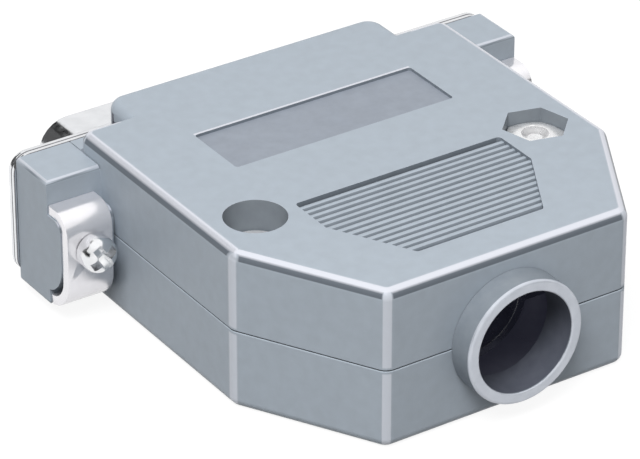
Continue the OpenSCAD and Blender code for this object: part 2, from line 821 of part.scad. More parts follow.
module front_insulator() {
    color("#26282b") difference() {
        union() {
            extrude_y(-sheet - bite, insulator_face) polygon(d_outline(-seat_room));
            extrude_y(-insulator_joint, -sheet) polygon(d_outline(insulator_step));
        }
        contact_holes(pin_d + 2 * contact_room, -insulator_joint - over, insulator_face + over);
    }
}

module rear_insulator() {
    color("#2b2d30") difference() {
        union() {
            extrude_y(-collar_end + sheet, -insulator_joint) polygon(d_outline(insulator_step));
            extrude_y(-rear_insulator_end, -insulator_joint - bite)
                polygon(d_outline(insulator_step - collar_rim));
        }
        contact_holes(cup_d + 2 * contact_room, -rear_insulator_end - over, -insulator_joint + over);
        contact_holes(shoulder_d + 2 * contact_room, -insulator_joint - shoulder_len - contact_room,
                      -insulator_joint + over);
    }
}

// Turned contact: mating pin, locking shoulder and a solder cup open to its row's outer side
module contact(i) {
    pin_r = pin_d / 2;
    cup_r = cup_d / 2;
    shoulder_r = shoulder_d / 2;
    shoulder_front = -insulator_joint - contact_room;
    shoulder_back = -insulator_joint - shoulder_len;
    scoop_z = in_wide_row(i) ? 0 : -cup_d;
    color("#d9b45a") difference() {
        along_y(contact_x(i), contact_z(i)) difference() {
            rotate_extrude($fn = contact_fn)
                polygon(rounded([[0, -cup_end], [cup_r, -cup_end], [cup_r, shoulder_back],
                                 [shoulder_r, shoulder_back], [shoulder_r, shoulder_front],
                                 [pin_r, shoulder_front], [pin_r, pin_tip], [0, pin_tip]],
                                [0, 0, 0, 0, 0, 0, pin_tip_r, 0]));
            translate([0, 0, -cup_end - over])
                cylinder(d = cup_hole_d, h = cup_depth + over, $fn = contact_fn);
        }
        translate([contact_x(i) - cup_d, -cup_end - over, contact_z(i) + scoop_z])
            cube([2 * cup_d, cup_scoop + over, cup_d]);
    }
}

// Cable clamp

// Upper strip: an arch over the cable with a flat ear on each side
module clamp_strip(hole_d) {
    ear_half = clamp_screw_x + clamp_ear_end;
    difference() {
        extrude_y(clamp_y - clamp_w / 2, clamp_y + clamp_w / 2) difference() {
            union() {
                intersection() {
                    circle(r = arch_out_r);
                    translate([-arch_out_r, ear_in]) square([2 * arch_out_r, arch_out_r]);
                }
                translate([-ear_half, ear_in]) square([2 * ear_half, clamp_t]);
            }
            circle(r = arch_r);
        }
        for (side = [-1, 1])
            translate([side * clamp_screw_x, clamp_y, 0]) cylinder(d = hole_d, h = ear_out + over);
    }
}

module upper_cable_clamp() {
    color("#cfd2d6") clamp_strip(clamp_screw_d + 2 * screw_room);
}

module lower_cable_clamp() {
    color("#cfd2d6") mirror([0, 0, 1]) clamp_strip(clamp_screw_d + 2 * thread_room);
}

module clamp_screw(side) {
    color("#d8dadd") translate([side * clamp_screw_x, clamp_y, ear_out])
        pan_screw(clamp_screw_d, clamp_screw_len, clamp_head_d, clamp_head_h);
}

module clamp_screw_left() {
    clamp_screw(-1);
}

module clamp_screw_right() {
    clamp_screw(1);
}

upper_hood();
lower_hood();
cable_bushing();
left_clip();
right_clip();
left_locking_screw();
right_locking_screw();
hood_screw_left();
hood_screw_right();
hood_nut_left();
hood_nut_right();
front_shell();
rear_shell();
front_insulator();
rear_insulator();
upper_cable_clamp();
lower_cable_clamp();
clamp_screw_left();
clamp_screw_right();
for (i = [1 : contact_count])
    contact(i);
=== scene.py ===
import math
import bmesh
import bpy
from mathutils import Matrix, Vector


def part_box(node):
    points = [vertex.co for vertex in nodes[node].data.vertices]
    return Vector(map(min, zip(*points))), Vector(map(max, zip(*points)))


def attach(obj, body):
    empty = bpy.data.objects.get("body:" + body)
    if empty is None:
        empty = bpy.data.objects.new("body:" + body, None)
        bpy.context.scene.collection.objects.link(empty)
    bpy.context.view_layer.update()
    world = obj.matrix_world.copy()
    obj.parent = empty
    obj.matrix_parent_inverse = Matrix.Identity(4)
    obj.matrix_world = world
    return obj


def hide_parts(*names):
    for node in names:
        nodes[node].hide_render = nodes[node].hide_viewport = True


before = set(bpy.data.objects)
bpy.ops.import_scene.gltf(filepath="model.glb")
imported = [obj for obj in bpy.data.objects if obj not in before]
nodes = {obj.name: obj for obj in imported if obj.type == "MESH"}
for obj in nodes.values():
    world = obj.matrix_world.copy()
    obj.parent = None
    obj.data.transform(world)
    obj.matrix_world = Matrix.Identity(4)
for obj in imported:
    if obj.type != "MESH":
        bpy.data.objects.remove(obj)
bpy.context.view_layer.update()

# Contacts
# Turned brass pins, each with a locking shoulder and a scooped solder cup, with a thin flash of gold.
# They stand in two rows, caught by their shoulders between the two insulators.
mm = 0.001
contact_edge = 0.05 * mm
gold_deep = (0.72, 0.47, 0.15, 1.0)
gold_bright = (0.88, 0.64, 0.27, 1.0)
gold_roughness = 0.2
gold_marks = (1.0, 6.0, 1.0)
gold_mark_depth = 0.001 * mm
noise_span = (0.32, 0.68)
fine_detail = 3.0
plate_patch = 1.6 * mm
plate_gloss_patch = 0.7 * mm
plate_gloss_span = (0.8, 1.25)
plate_mark = 0.12 * mm
sharp_turn = math.radians(35)
flat_turn = math.radians(0.4)
seam_gap = 0.002 * mm
edge_steps = 2
flat_weight = 60


def new_finish(name):
    """An empty node material."""
    finish = bpy.data.materials.new(name)
    finish.use_nodes = True
    return finish


def shader_of(finish):
    """The shader that a finish ends in."""
    return finish.node_tree.nodes["Principled BSDF"]


def preset(finish, values):
    """Sets sockets of a finish's shader to fixed values."""
    for socket, value in values.items():
        shader_of(finish).inputs[socket].default_value = value


def own_place(tree):
    """The piece's own metres, for textures and masks."""
    return tree.nodes.new("ShaderNodeTexCoord").outputs["Object"]


def feed(tree, socket, value):
    """Links a socket to another one, or sets it to a fixed value."""
    if isinstance(value, bpy.types.NodeSocket):
        tree.links.new(value, socket)
    else:
        socket.default_value = value


def ramp(tree, value, start, stop, low=0.0, high=1.0):
    """Goes from low to high while the value goes from start to stop."""
    step = tree.nodes.new("ShaderNodeMapRange")
    feed(tree, step.inputs["Value"], value)
    for socket, number in (("From Min", start), ("From Max", stop), ("To Min", low), ("To Max", high)):
        feed(tree, step.inputs[socket], number)
    return step.outputs["Result"]


def cloud(tree, place, size, detail=2.0):
    """Soft noise with patches of about one size."""
    noise = tree.nodes.new("ShaderNodeTexNoise")
    noise.inputs["Scale"].default_value = 1 / size
    noise.inputs["Detail"].default_value = detail
    tree.links.new(place, noise.inputs["Vector"])
    return noise.outputs["Fac"]


def stretched(tree, place, shares):
    """Coordinates drawn out along an axis, for drawing and turning marks."""
    mapping = tree.nodes.new("ShaderNodeMapping")
    mapping.inputs["Scale"].default_value = shares
    tree.links.new(place, mapping.inputs["Vector"])
    return mapping.outputs["Vector"]


def tint(tree, noise, dark, light):
    """Colours from dark to light, spread over the usual values of a noise."""
    colours = tree.nodes.new("ShaderNodeValToRGB")
    for stop, position, colour in zip(colours.color_ramp.elements, noise_span, (dark, light)):
        stop.position = position
        stop.color = colour
    tree.links.new(noise, colours.inputs["Fac"])
    return colours.outputs["Color"]


def relief(tree, shader, height, depth):
    """Fine surface relief of a depth in metres."""
    bump = tree.nodes.new("ShaderNodeBump")
    bump.inputs["Distance"].default_value = depth
    tree.links.new(height, bump.inputs["Height"])
    tree.links.new(bump.outputs["Normal"], shader.inputs["Normal"])


def plating(name, dark, light, roughness, mark_shares, mark_depth):
    """Bright plate on metal: cloudy colour, uneven gloss, and drawing or turning marks."""
    finish = new_finish(name)
    tree = finish.node_tree
    shader = shader_of(finish)
    place = own_place(tree)
    shader.inputs["Metallic"].default_value = 1.0
    tree.links.new(tint(tree, cloud(tree, place, plate_patch), dark, light), shader.inputs["Base Color"])
    low, high = (roughness * share for share in plate_gloss_span)
    gloss = ramp(tree, cloud(tree, place, plate_gloss_patch, fine_detail), *noise_span, low, high)
    tree.links.new(gloss, shader.inputs["Roughness"])
    marks = cloud(tree, stretched(tree, place, mark_shares), plate_mark, fine_detail)
    relief(tree, shader, marks, mark_depth)
    return finish


def dress(piece, finish):
    """Gives a solid its finish."""
    piece.material_slots[0].material = finish


def smooth_rounds():
    """Modifier nodes that shade rounds smooth and keep sharp corners sharp."""
    group = bpy.data.node_groups.new("smooth_rounds", "GeometryNodeTree")
    group.interface.new_socket("Geometry", in_out="INPUT", socket_type="NodeSocketGeometry")
    group.interface.new_socket("Geometry", in_out="OUTPUT", socket_type="NodeSocketGeometry")
    start = group.nodes.new("NodeGroupInput")
    end = group.nodes.new("NodeGroupOutput")
    angle = group.nodes.new("GeometryNodeInputMeshEdgeAngle")
    small = group.nodes.new("FunctionNodeCompare")
    small.operation = "LESS_THAN"
    small.inputs[1].default_value = sharp_turn
    faces = group.nodes.new("GeometryNodeSetShadeSmooth")
    faces.domain = "FACE"
    edges = group.nodes.new("GeometryNodeSetShadeSmooth")
    edges.domain = "EDGE"
    group.links.new(start.outputs[0], faces.inputs["Geometry"])
    group.links.new(faces.outputs["Geometry"], edges.inputs["Geometry"])
    group.links.new(angle.outputs["Unsigned Angle"], small.inputs[0])
    group.links.new(small.outputs["Result"], edges.inputs["Shade Smooth"])
    group.links.new(edges.outputs["Geometry"], end.inputs[0])
    return group


rounds = smooth_rounds()


def ease_edges(piece, width, edge_finish=-1, join_flats=True):
    """Breaks a solid's sharp edges by a rounding, up to its shortest edges, and evens its faces' shading."""
    weld = piece.modifiers.new("join_seams", "WELD")
    weld.merge_threshold = seam_gap
    if join_flats:
        flats = piece.modifiers.new("join_flats", "DECIMATE")
        flats.decimate_type = "DISSOLVE"
        flats.angle_limit = flat_turn
    bevel = piece.modifiers.new("eased_edges", "BEVEL")
    bevel.width = width
    bevel.segments = edge_steps
    bevel.limit_method = "ANGLE"
    bevel.angle_limit = sharp_turn
    bevel.use_clamp_overlap = True
    bevel.material = edge_finish
    smooth = piece.modifiers.new("smooth_rounds", "NODES")
    smooth.node_group = rounds
    even = piece.modifiers.new("even_shading", "WEIGHTED_NORMAL")
    even.keep_sharp = True
    even.weight = flat_weight


gold = plating("gold_flash", gold_deep, gold_bright, gold_roughness, gold_marks, gold_mark_depth)
for name in sorted(name for name in nodes if name.startswith("contact_")):
    dress(nodes[name], gold)
    ease_edges(nodes[name], contact_edge)

# Insulators
# Two mouldings of black glass-filled plastic, one behind the other inside the shell.
# The front one guides the pins and the rear one holds the shoulders of the contacts.
insulator_edge = 0.08 * mm
moulded_black = (0.012, 0.0125, 0.014, 1.0)
moulded_grey = (0.028, 0.029, 0.031, 1.0)
insulator_roughness = 0.42
insulator_grain = 0.12 * mm
grain_depth = 0.003 * mm
moulding_patch = 1.2 * mm
moulding_patch_detail = 4.0
moulding_gloss_patch = 2.5 * mm
moulding_gloss_change = 0.05


def moulding(name, dark, light, roughness, grain_size, depth=grain_depth):
    """Moulded plastic: cloudy colour, uneven gloss and the spark-eroded grain of the mould."""
    finish = new_finish(name)
    tree = finish.node_tree
    shader = shader_of(finish)
    place = own_place(tree)
    patches = cloud(tree, place, moulding_patch, moulding_patch_detail)
    tree.links.new(tint(tree, patches, dark, light), shader.inputs["Base Color"])
    low = roughness - moulding_gloss_change
    high = roughness + moulding_gloss_change
    gloss = ramp(tree, cloud(tree, place, moulding_gloss_patch), *noise_span, low, high)
    tree.links.new(gloss, shader.inputs["Roughness"])
    relief(tree, shader, cloud(tree, place, grain_size, fine_detail), depth)
    return finish


black_plastic = moulding("black_insulator", moulded_black, moulded_grey, insulator_roughness, insulator_grain)
for name in ("front_insulator", "rear_insulator"):
    dress(nodes[name], black_plastic)
    ease_edges(nodes[name], insulator_edge)

# Connector shell
# Two drawn steel sheets, tin-plated, riveted back to back by eyelets in the front one. Their eased edges are
# dark steel: partly the bare steel of the cut, partly a painted dark reflection that outlines the edges.
# The front sheet carries the D-shaped shroud, the rear one the collar round the insulators.
shell_edge = 0.08 * mm
tin_dark = (0.755, 0.765, 0.785, 1.0)
tin_bright = (0.82, 0.83, 0.85, 1.0)
tin_roughness = 0.16
tin_marks = (1.0, 0.15, 1.0)
tin_mark_depth = 0.0003 * mm
shaded_edge_dark = (0.20, 0.20, 0.215, 1.0)
shaded_edge_bright = (0.27, 0.27, 0.285, 1.0)
shaded_edge_roughness = 0.3
shaded_edge_mark_depth = 0.001 * mm
even_marks = (1.0, 1.0, 1.0)
tin = plating("bright_tin", tin_dark, tin_bright, tin_roughness, tin_marks, tin_mark_depth)
shaded_edge_steel = plating("shaded_edge_steel", shaded_edge_dark, shaded_edge_bright, shaded_edge_roughness, even_marks, shaded_edge_mark_depth)
for name in ("front_shell", "rear_shell"):
    shell = nodes[name]
    dress(shell, tin)
    shell.data.materials.append(shaded_edge_steel)
    # The eased edges take the dark steel, a painted dark reflection along them
    ease_edges(shell, shell_edge, edge_finish=shell.data.materials.find(shaded_edge_steel.name))

# Hood
# Two moulded plastic halves, closed on the connector's flange, with a satin bluish metal layer outside.
# Its rounded edges carry painted highlights with painted shade below them, and the bare inside has a faint
# painted glow.

# A wider rounding would close up the shortest edges of the halves.
hood_edge = 0.0072 * mm

# Outline of the body, which is straight to the shoulders and then tapers to the cable end
body_low, body_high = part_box("lower_hood")
top_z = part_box("upper_hood")[1].z
side_x = body_high.x
end_y = body_low.y
end_x = 13.0 * mm
shoulder_y = -28.9 * mm
slant_normal = Vector((shoulder_y - end_y, side_x - end_x, 0)).normalized()

# Fields, pockets and walls, by which their faces are picked out
wall = 1.6 * mm
roof = 1.7 * mm
inner_wall_share = 0.6
face_room = 0.02 * mm
boss_x = 15.37 * mm
boss_y = -24.79 * mm
boss_clear = 3.8 * mm
pocket_skin = 0.25 * mm
grip_field = (Vector((-11.5, -38.5, 0)) * mm, Vector((11.5, -24.6, 0)) * mm)
grip_depths = (0.05 * mm, 1.0 * mm)
rib_top_limit = 0.31 * mm
rib_flank_tilt = 0.15
label_field = (Vector((-12.0, -16.41, 0)) * mm, Vector((12.0, -9.25, 0)) * mm)
label_sink = 0.3 * mm
label_wall_room = 0.1 * mm
label_wall_tilt = 0.5

# Satin metal layer, and the dark line of the joint between the halves
metallised_dark = (0.435, 0.49, 0.55, 1.0)
metallised_light = (0.46, 0.52, 0.585, 1.0)
satin_roughness = 0.36
satin_grain = 0.10 * mm
satin_grain_depth = 0.0022 * mm
satin_shine = {"Metallic": 0.05, "Specular IOR Level": 0.08, "Coat Weight": 0.12, "Coat Roughness": 0.35}
joint_half = 0.045 * mm
joint_fade = (0.7 * joint_half, 1.3 * joint_half)
body_fade = (side_x, side_x + 0.05 * mm)
joint_shadow = (0.05, 0.055, 0.065, 1.0)

# Painted highlights and painted shade on the edges: each pair says where a line starts and where it is full
edge_highlight_colour = (0.745, 0.765, 0.83, 1.0)
shaded_metal = (0.155, 0.178, 0.207, 1.0)
edge_highlight_roughness = 0.28
edge_highlight_metallic = 0.35
corner_share = 0.6
wing_share = 0.65
turned_away = (0.9995, 0.975)
shoulder_reach = (0.98 * mm, 0.5 * mm)
above_underside = (-0.75, -0.6)
top_line_up = (0.6, 0.78)
shade_line_up = (0.12, 0.22)
joint_clear = (0.2 * mm, 0.4 * mm)
wing_start = (side_x + 0.02 * mm, side_x + 0.03 * mm)
lip_x = 16.3 * mm
lip_y = (-5.0 * mm, -7.0 * mm)
label_line = 0.13 * mm
label_line_up = (0.4, 0.6)
label_line_fade = (1.6 * label_line, 0.8 * label_line)

# Painted shade for the grooves, the label's walls and the pockets, a darker rougher label floor, and the bare
# inside with a faint painted glow
groove_dark = (0.205, 0.235, 0.27, 1.0)
groove_light = (0.23, 0.26, 0.298, 1.0)
pocket_dark = (0.275, 0.305, 0.34, 1.0)
pocket_light = (0.30, 0.335, 0.37, 1.0)
label_floor_dark = (0.305, 0.337, 0.392, 1.0)
label_floor_light = (0.335, 0.372, 0.432, 1.0)
label_floor_roughness = 0.55
label_floor_grain = 0.06 * mm
bare_dark = (0.085, 0.088, 0.112, 1.0)
bare_light = (0.105, 0.108, 0.135, 1.0)
bare_roughness = 0.5
bare_grain = 0.15 * mm
# Painted glow that gives the bare inside a faint light of its own
painted_glow = {"Emission Color": (0.62, 0.64, 1.0, 1.0), "Emission Strength": 0.016}


def satin(name, dark, light):
    """Metallised plastic: a satin metal layer under a thin clear coat."""
    finish = moulding(name, dark, light, satin_roughness, satin_grain, satin_grain_depth)
    preset(finish, satin_shine)
    return finish


def combine(tree, operation, first, second):
    """One step of arithmetic between a socket and another socket or a number."""
    step = tree.nodes.new("ShaderNodeMath")
    step.operation = operation
    feed(tree, step.inputs[0], first)
    feed(tree, step.inputs[1], second)
    return step.outputs[0]


def product(tree, first, *others):
    """Masks and shares multiplied with each other."""
    for other in others:
        first = combine(tree, "MULTIPLY", first, other)
    return first


def unsigned(tree, value):
    """A value without its sign."""
    return combine(tree, "ABSOLUTE", value, 0.0)


def distance(tree, value, mark):
    """How far a coordinate is from a mark."""
    return unsigned(tree, combine(tree, "SUBTRACT", value, mark))


def split(tree, vector):
    """A vector's three parts."""
    parts = tree.nodes.new("ShaderNodeSeparateXYZ")
    tree.links.new(vector, parts.inputs["Vector"])
    return parts.outputs


def work_vector(tree, operation, vector, other=None):
    """One step of arithmetic on a vector, with another vector where the step needs one."""
    step = tree.nodes.new("ShaderNodeVectorMath")
    step.operation = operation
    tree.links.new(vector, step.inputs[0])
    if other is not None:
        step.inputs[1].default_value = other
    return step.outputs


def mixed(tree, kind, share, first, second):
    """Goes from the first colour or number to the second, by a share from 0 to 1."""
    mix = tree.nodes.new("ShaderNodeMix")
    mix.data_type = kind
    feed(tree, mix.inputs["Factor"], share)
    feed(tree, mix.inputs["A"], first)
    feed(tree, mix.inputs["B"], second)
    return mix.outputs["Result"]


def overlay(finish, socket, kind, share, value):
    """Lays a colour or number over what feeds a socket of the shader, by a share from 0 to 1."""
    tree = finish.node_tree
    target = shader_of(finish).inputs[socket]
    tree.links.new(mixed(tree, kind, share, target.links[0].from_socket, value), target)


def darken_joint(finish):
    """Dark line where the two halves meet, on the body but not on the wings."""
    tree = finish.node_tree
    place = split(tree, own_place(tree))
    at_joint = ramp(tree, unsigned(tree, place["Z"]), *joint_fade, 1.0, 0.0)
    on_body = ramp(tree, unsigned(tree, place["X"]), *body_fade, 1.0, 0.0)
    overlay(finish, "Base Color", "RGBA", product(tree, at_joint, on_body), joint_shadow)


def flatness(tree, direction):
    """1 where a direction lies along one of the hood's flat sides, less where it turns away from them."""
    sizes = work_vector(tree, "ABSOLUTE", direction)["Vector"]
    flat = work_vector(tree, "DOT_PRODUCT", sizes, slant_normal)["Value"]
    for part in split(tree, sizes)[:]:
        flat = combine(tree, "MAXIMUM", flat, part)
    return flat


def sideways(tree, direction):
    """The direction without its height."""
    level = work_vector(tree, "MULTIPLY", direction, (1.0, 1.0, 0.0))["Vector"]
    return work_vector(tree, "NORMALIZE", level)["Vector"]


def label_edge(tree, place, across, up):
    """Painted highlight along the far edge of the label recess."""
    past_label = distance(tree, place["Y"], label_field[1].y + label_line)
    on_line = ramp(tree, past_label, *label_line_fade)
    along_label = combine(tree, "LESS_THAN", across, label_field[1].x)
    return product(tree, on_line, along_label, ramp(tree, up, *label_line_up))


def paint_edge_light(finish):
    """Painted light on the rounded edges: a painted highlight along the top, painted shade below it, and a
    softer painted highlight on the upright corners.
    """
    tree = finish.node_tree
    facing = tree.nodes.new("ShaderNodeNewGeometry").outputs["Normal"]
    up = split(tree, facing)["Z"]
    place = split(tree, own_place(tree))
    across = unsigned(tree, place["X"])
    aside = distance(tree, across, side_x)
    along = distance(tree, place["Y"], shoulder_y)
    shoulder = ramp(tree, combine(tree, "ADD", aside, along), *shoulder_reach)
    upright = ramp(tree, flatness(tree, sideways(tree, facing)), *turned_away)
    corner = product(tree, combine(tree, "MAXIMUM", upright, shoulder), ramp(tree, up, *above_underside))
    top_line = ramp(tree, up, *top_line_up)
    shade_line = product(tree, ramp(tree, up, *shade_line_up), ramp(tree, corner, 1.0, 0.0))
    bright = combine(tree, "MAXIMUM", top_line, corner)
    rounded = combine(tree, "MAXIMUM", shoulder, ramp(tree, flatness(tree, facing), *turned_away))
    lines = combine(tree, "MAXIMUM", top_line, shade_line)
    painted_lines = combine(tree, "MAXIMUM", lines, product(tree, corner, corner_share))
    off_joint = ramp(tree, unsigned(tree, place["Z"]), *joint_clear)
    off_wing = ramp(tree, across, *wing_start, 1.0, wing_share)
    off_lip = combine(tree, "MAXIMUM", combine(tree, "GREATER_THAN", across, lip_x),
                      ramp(tree, place["Y"], *lip_y))
    painted_light = product(tree, rounded, painted_lines, off_joint, off_wing, off_lip)
    painted_light = combine(tree, "MAXIMUM", painted_light, label_edge(tree, place, across, up))
    metal_colour = mixed(tree, "RGBA", bright, shaded_metal, edge_highlight_colour)
    overlay(finish, "Base Color", "RGBA", painted_light, metal_colour)
    overlay(finish, "Roughness", "FLOAT", painted_light, edge_highlight_roughness)
    highlight_share = product(tree, painted_light, bright)
    metallic = ramp(tree, highlight_share, 0.0, 1.0, satin_shine["Metallic"], edge_highlight_metallic)
    tree.links.new(metallic, shader_of(finish).inputs["Metallic"])


def depth_of(face):
    """How far a face lies below the hood's flat top or above its flat underside."""
    return top_z - abs(face.center.z)


def in_field(face, field, room=0.0):
    """Whether a face lies in a field of the top or the underside, or within some room round it."""
    low, high = field
    beside = low.x - room < face.center.x < high.x + room
    return beside and low.y - room < face.center.y < high.y + room


def at_boss(face):
    """Whether a face belongs to one of the bosses of the hood screws."""
    return math.hypot(abs(face.center.x) - boss_x, face.center.y - boss_y) < boss_clear


def in_pocket(face):
    """Walls and floors of the screw holes and the nut pockets."""
    return at_boss(face) and depth_of(face) > pocket_skin


def in_grip(face):
    """Everything below the top face in the ribbed field."""
    shallowest, deepest = grip_depths
    return in_field(face, grip_field) and shallowest < depth_of(face) < deepest


def in_groove(face):
    """Flanks of the ribs, the floor between them and the walls round them."""
    return in_grip(face) and (depth_of(face) > rib_top_limit or abs(face.normal.z) < rib_flank_tilt)


def round_label(face):
    """Low walls round the label recess."""
    upright = abs(face.normal.z) < label_wall_tilt
    return upright and in_field(face, label_field, label_wall_room) and 0 < depth_of(face) < label_sink


def in_label(face):
    """Floor of the label recess."""
    return in_field(face, label_field) and abs(depth_of(face) - label_sink) < face_room


def taper_gap(centre):
    """Distance from the slanted sides of the cable end."""
    run = side_x - end_x
    rise = shoulder_y - end_y
    across = (side_x - abs(centre.x)) * rise - (shoulder_y - centre.y) * run
    return across / math.hypot(run, rise)


def in_cavity(face):
    """The hollow inside, without the bosses."""
    centre = face.center
    inward = min(side_x - abs(centre.x), taper_gap(centre), centre.y - end_y)
    deep = abs(centre.z) < top_z - roof + face_room
    return deep and inward > wall * inner_wall_share and not at_boss(face)


def refinish(piece, finish, test):
    """Gives the faces that pass a test a finish of their own."""
    piece.data.materials.append(finish)
    spot = len(piece.data.materials) - 1
    for face in piece.data.polygons:
        if test(face):
            face.material_index = spot


metallised = satin("metallised_hood", metallised_dark, metallised_light)
darken_joint(metallised)
# Painted highlights along the rounded edges, with painted shade below them
paint_edge_light(metallised)
ribbed = satin("ribbed_grip", metallised_dark, metallised_light)
groove = satin("shaded_groove", groove_dark, groove_light)
pocket = satin("shaded_pocket", pocket_dark, pocket_light)
label_floor = moulding("darker_label_floor", label_floor_dark, label_floor_light, label_floor_roughness, label_floor_grain)
bare = moulding("bare_inside", bare_dark, bare_light, bare_roughness, bare_grain)
# Painted glow: the bare inside gives off a faint bluish light of its own
preset(bare, painted_glow)
for name in ("lower_hood", "upper_hood"):
    half = nodes[name]
    dress(half, metallised)
    refinish(half, ribbed, in_grip)
    # Painted shade: the grooves between the ribs, the label's low walls and the pockets take darker finishes
    refinish(half, groove, in_groove)
    refinish(half, groove, round_label)
    refinish(half, pocket, in_pocket)
    # Darker, rougher floor of the label recess
    refinish(half, label_floor, in_label)
    refinish(half, bare, in_cavity)
    ease_edges(half, hood_edge)

# Cable bushing
# A ring of the same metallised plastic, held by its neck in the end walls of the two halves.
# Its rim is lighter and partly metallic, and its bore is darker.
bushing_edge = 0.05 * mm
bushing = nodes["cable_bushing"]
rim_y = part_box("cable_bushing")[0].y
rim_depth = 0.31 * mm
bore_start = 0.2 * mm
bore_r = 5.04 * mm
bore_room = 0.01 * mm
collar_dark = (0.265, 0.30, 0.34, 1.0)
collar_light = (0.295, 0.33, 0.37, 1.0)
rim_dark = (0.60, 0.635, 0.70, 1.0)
rim_light = (0.67, 0.705, 0.77, 1.0)
rim_metallic = 0.4
bore_dark = (0.10, 0.11, 0.14, 1.0)
bore_light = (0.12, 0.13, 0.162, 1.0)


def outside_bore(face):
    """Whether a face lies further from the axis than the wall of the bore."""
    return math.hypot(face.center.x, face.center.z) > bore_r + bore_room


def on_rim(face):
    """The rounded front edge of the ring."""
    return outside_bore(face) and face.center.y < rim_y + rim_depth


def in_bore(face):
    """The wall of the cable hole."""
    return not outside_bore(face) and face.center.y > rim_y + bore_start


collar = satin("satin_collar", collar_dark, collar_light)
rim = satin("bright_rim", rim_dark, rim_light)
preset(rim, {"Metallic": rim_metallic})
bore = moulding("darker_bore", bore_dark, bore_light, bare_roughness, bare_grain)
dress(bushing, collar)
refinish(bushing, rim, on_rim)
refinish(bushing, bore, in_bore)
ease_edges(bushing, bushing_edge)

# Cable clamp
# Two bent steel strips with a zinc plate, one above and one below the cable.
# Two screws draw them together, into posts of the hood's lower half.
clamp_edge = 0.1 * mm
strip_dark = (0.50, 0.51, 0.53, 1.0)
strip_bright = (0.66, 0.67, 0.69, 1.0)
strip_roughness = 0.24
strip_marks = (0.15, 1.0, 1.0)
strip_mark_depth = 0.001 * mm
zinc_strip = plating("zinc_strip", strip_dark, strip_bright, strip_roughness, strip_marks, strip_mark_depth)
for name in ("upper_cable_clamp", "lower_cable_clamp"):
    dress(nodes[name], zinc_strip)
    ease_edges(nodes[name], clamp_edge)

# Clamp screws
# Small machine screws, heads up, through both strips into the posts of the lower half.
# They are cold-headed steel with a bright zinc plate, a tapered cross recess and a rolled thread.
clamp_head_h = 1.7 * mm
clamp_round_share = 0.3
clamp_neck_h = 0.6 * mm
fine_thread = {"crest": 1.25 * mm, "root": 0.98 * mm, "pitch": 0.45 * mm}
fine_recess_share = 0.5

# Plate of these screws and of the locking screws
zinc_dark = (0.74, 0.75, 0.77, 1.0)
zinc_bright = (0.86, 0.87, 0.88, 1.0)
zinc_roughness = 0.18
zinc_mark_depth = 0.0006 * mm

# Shape of every cross-head screw: the recess has shares of its span and of its arms' width at three depths
screw_sides = 48
screw_turns = [2 * math.pi * i / screw_sides for i in range(screw_sides)]
thread_steps = 8
thread_runout = 0.6
thread_root_flat = 0.15
thread_flank = 0.7
head_round_degrees = range(0, 91, 15)
head_break = 0.05 * mm
recess_arm_share = 0.3
recess_depth_share = 0.62
recess_rise_share = 0.5
recess_point = (0.2, 0.28)
recess_waist = (0.36, 0.36)
recess_waist_depth = 0.75
recess_mouth = (0.62, 0.56)
same_spot = 1e-7
no_height = 1e-9

zinc = plating("bright_zinc", zinc_dark, zinc_bright, zinc_roughness, even_marks, zinc_mark_depth)


def ring(mesh, radius, height):
    """Points on a circle round the screw's axis."""
    return [mesh.verts.new((radius * math.cos(t), radius * math.sin(t), height)) for t in screw_turns]


def skin(mesh, lower, upper):
    """Closed band of faces between two rows of points."""
    count = len(lower)
    for i in range(count):
        j = (i + 1) % count
        mesh.faces.new((lower[i], lower[j], upper[j], upper[i]))


def turned(mesh, stations, closed_end):
    """Surface of revolution through stations of radius and height, upwards, with one end closed or none."""
    rows = [ring(mesh, radius, height) for radius, height in stations]
    for lower, upper in zip(rows, rows[1:]):
        skin(mesh, lower, upper)
    if closed_end == "top":
        mesh.faces.new(rows[-1])
    if closed_end == "bottom":
        mesh.faces.new(rows[0][::-1])


def thread(mesh, crest, root, pitch, bottom, top):
    """Rolled thread as one spiral of rows, which runs out into the root at both ends."""
    runout = thread_runout * pitch
    count = int(thread_steps * ((top - bottom) / pitch + 2)) + thread_steps + 1
    rows = []
    for row in range(count):
        flank = 1 - abs(2 * ((row / thread_steps) % 1) - 1)
        share = min(max((flank - thread_root_flat) / thread_flank, 0), 1)
        points = []
        for i, turn in enumerate(screw_turns):
            climb = row / thread_steps + i / screw_sides - 1
            height = min(max(bottom + pitch * climb, bottom), top)
            fade = min((height - bottom) / runout, (top - height) / runout, 1)
            radius = root + (crest - root) * share * fade
            points.append(mesh.verts.new((radius * math.cos(turn), radius * math.sin(turn), height)))
        rows.append(points)
    for row in range(count - thread_steps - 1):
        for i in range(screw_sides):
            wraps = i + 1 == screw_sides
            ahead = rows[row + thread_steps][0] if wraps else rows[row][i + 1]
            above = rows[row + thread_steps + 1][0] if wraps else rows[row + 1][i + 1]
            corners = (rows[row][i], ahead, above, rows[row + 1][i])
            heights = [corner.co.z for corner in corners]
            if max(heights) - min(heights) > no_height:
                mesh.faces.new(corners)


def as_object(name, mesh):
    """An object of its own from mesh code, with its seams joined."""
    bmesh.ops.remove_doubles(mesh, verts=mesh.verts, dist=same_spot)
    bmesh.ops.recalc_face_normals(mesh, faces=mesh.faces)
    data = bpy.data.meshes.new(name)
    mesh.to_mesh(data)
    mesh.free()
    piece = bpy.data.objects.new(name, data)
    bpy.context.scene.collection.objects.link(piece)
    return piece


